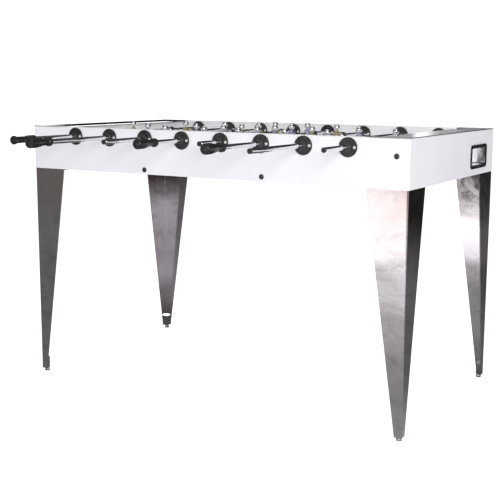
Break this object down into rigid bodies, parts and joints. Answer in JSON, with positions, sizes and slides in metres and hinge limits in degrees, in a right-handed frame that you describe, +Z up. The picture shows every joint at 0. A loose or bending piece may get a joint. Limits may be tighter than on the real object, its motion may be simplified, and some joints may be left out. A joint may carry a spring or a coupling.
{
  "type": "foosball table",
  "caption": "Foosball table: boxed white cabinet, sliding and turning player rods, tapered steel angle legs with levelling feet.",
  "frame": {"origin": "on the floor, under the centre of the cabinet", "axes": "+X along the table, -Y the long side with the first team's handles, +Z up"},
  "size_m": [1.446, 1.4, 0.9215],
  "materials": {
    "white_laminate": "gloss",
    "playfield_laminate": "satin",
    "polished_deck": "polished",
    "black_plastic": "satin",
    "black_steel": "satin",
    "stainless": "brushed",
    "chrome": "polished",
    "gold_player": "satin",
    "violet_player": "satin",
    "black_rubber": "matt",
    "sleeve_nylon": "satin"
  },
  "bodies": {
    "cabinet": {"front_wall": "white_laminate", "back_wall": "white_laminate", "left_end_wall": "white_laminate", "right_end_wall": "white_laminate", "playfield": "playfield_laminate", "goal_walls": "white_laminate", "end_decks": "polished_deck", "bearing_housings": "black_plastic", "cabinet_bolts": "black_steel", "return_frames": "black_plastic", "ball_trays": "stainless", "leg_mountings": "black_steel", "leg_front_left": "stainless", "leg_front_right": "stainless", "leg_back_left": "stainless", "leg_back_right": "stainless"},
    "rod1_turn": {"rod1_sleeves": "sleeve_nylon"},
    "rod1": {"rod1_shaft": "chrome", "rod1_players": "gold_player", "rod1_grip": "black_plastic", "rod1_bumpers": "black_rubber"},
    "rod2_turn": {"rod2_sleeves": "sleeve_nylon"},
    "rod2": {"rod2_shaft": "chrome", "rod2_players": "gold_player", "rod2_grip": "black_plastic", "rod2_bumpers": "black_rubber"},
    "rod3_turn": {"rod3_sleeves": "sleeve_nylon"},
    "rod3": {"rod3_shaft": "chrome", "rod3_players": "violet_player", "rod3_grip": "black_plastic", "rod3_bumpers": "black_rubber"},
    "rod4_turn": {"rod4_sleeves": "sleeve_nylon"},
    "rod4": {"rod4_shaft": "chrome", "rod4_players": "gold_player", "rod4_grip": "black_plastic", "rod4_bumpers": "black_rubber"},
    "rod5_turn": {"rod5_sleeves": "sleeve_nylon"},
    "rod5": {"rod5_shaft": "chrome", "rod5_players": "violet_player", "rod5_grip": "black_plastic", "rod5_bumpers": "black_rubber"},
    "rod6_turn": {"rod6_sleeves": "sleeve_nylon"},
    "rod6": {"rod6_shaft": "chrome", "rod6_players": "gold_player", "rod6_grip": "black_plastic", "rod6_bumpers": "black_rubber"},
    "rod7_turn": {"rod7_sleeves": "sleeve_nylon"},
    "rod7": {"rod7_shaft": "chrome", "rod7_players": "violet_player", "rod7_grip": "black_plastic", "rod7_bumpers": "black_rubber"},
    "rod8_turn": {"rod8_sleeves": "sleeve_nylon"},
    "rod8": {"rod8_shaft": "chrome", "rod8_players": "violet_player", "rod8_grip": "black_plastic", "rod8_bumpers": "black_rubber"},
    "foot_front_left": {"foot_front_left": "chrome"},
    "foot_front_right": {"foot_front_right": "chrome"},
    "foot_back_left": {"foot_back_left": "chrome"},
    "foot_back_right": {"foot_back_right": "chrome"}
  },
  "joints": [
    {"name": "rod1_spin", "type": "hinge", "parent": "cabinet", "child": "rod1_turn", "pos_m": [-0.525, 0, 0.8785], "axis": [0, 1, 0], "continuous": true},
    {"name": "rod1_slide", "type": "slide", "parent": "rod1_turn", "child": "rod1", "axis": [0, 1, 0], "range_m": [-0.043, 0.181]},
    {"name": "rod2_spin", "type": "hinge", "parent": "cabinet", "child": "rod2_turn", "pos_m": [-0.375, 0, 0.8785], "axis": [0, 1, 0], "continuous": true},
    {"name": "rod2_slide", "type": "slide", "parent": "rod2_turn", "child": "rod2", "axis": [0, 1, 0], "range_m": [-0.132, 0.246]},
    {"name": "rod3_spin", "type": "hinge", "parent": "cabinet", "child": "rod3_turn", "pos_m": [-0.225, 0, 0.8785], "axis": [0, 1, 0], "continuous": true},
    {"name": "rod3_slide", "type": "slide", "parent": "rod3_turn", "child": "rod3", "axis": [0, 1, 0], "range_m": [-0.03, 0.204]},
    {"name": "rod4_spin", "type": "hinge", "parent": "cabinet", "child": "rod4_turn", "pos_m": [-0.075, 0, 0.8785], "axis": [0, 1, 0], "continuous": true},
    {"name": "rod4_slide", "type": "slide", "parent": "rod4_turn", "child": "rod4", "axis": [0, 1, 0], "range_m": [-0.046, 0.084]},
    {"name": "rod5_spin", "type": "hinge", "parent": "cabinet", "child": "rod5_turn", "pos_m": [0.075, 0, 0.8785], "axis": [0, 1, 0], "continuous": true},
    {"name": "rod5_slide", "type": "slide", "parent": "rod5_turn", "child": "rod5", "axis": [0, 1, 0], "range_m": [-0.023, 0.107]},
    {"name": "rod6_spin", "type": "hinge", "parent": "cabinet", "child": "rod6_turn", "pos_m": [0.225, 0, 0.8785], "axis": [0, 1, 0], "continuous": true},
    {"name": "rod6_slide", "type": "slide", "parent": "rod6_turn", "child": "rod6", "axis": [0, 1, 0], "range_m": [-0.067, 0.167]},
    {"name": "rod7_spin", "type": "hinge", "parent": "cabinet", "child": "rod7_turn", "pos_m": [0.375, 0, 0.8785], "axis": [0, 1, 0], "continuous": true},
    {"name": "rod7_slide", "type": "slide", "parent": "rod7_turn", "child": "rod7", "axis": [0, 1, 0], "range_m": [-0.076, 0.302]},
    {"name": "rod8_spin", "type": "hinge", "parent": "cabinet", "child": "rod8_turn", "pos_m": [0.525, 0, 0.8785], "axis": [0, 1, 0], "continuous": true},
    {"name": "rod8_slide", "type": "slide", "parent": "rod8_turn", "child": "rod8", "axis": [0, 1, 0], "range_m": [-0.08, 0.144]},
    {"name": "foot_front_left_turn", "type": "hinge", "parent": "cabinet", "child": "foot_front_left", "pos_m": [-0.7055, -0.3795, 0], "axis": [0, 0, 1], "range_deg": [-1080, 1080]},
    {"name": "foot_front_right_turn", "type": "hinge", "parent": "cabinet", "child": "foot_front_right", "pos_m": [0.7055, -0.3795, 0], "axis": [0, 0, 1], "range_deg": [-1080, 1080]},
    {"name": "foot_back_left_turn", "type": "hinge", "parent": "cabinet", "child": "foot_back_left", "pos_m": [-0.7055, 0.3795, 0], "axis": [0, 0, 1], "range_deg": [-1080, 1080]},
    {"name": "foot_back_right_turn", "type": "hinge", "parent": "cabinet", "child": "foot_back_right", "pos_m": [0.7055, 0.3795, 0], "axis": [0, 0, 1], "range_deg": [-1080, 1080]}
  ]
}
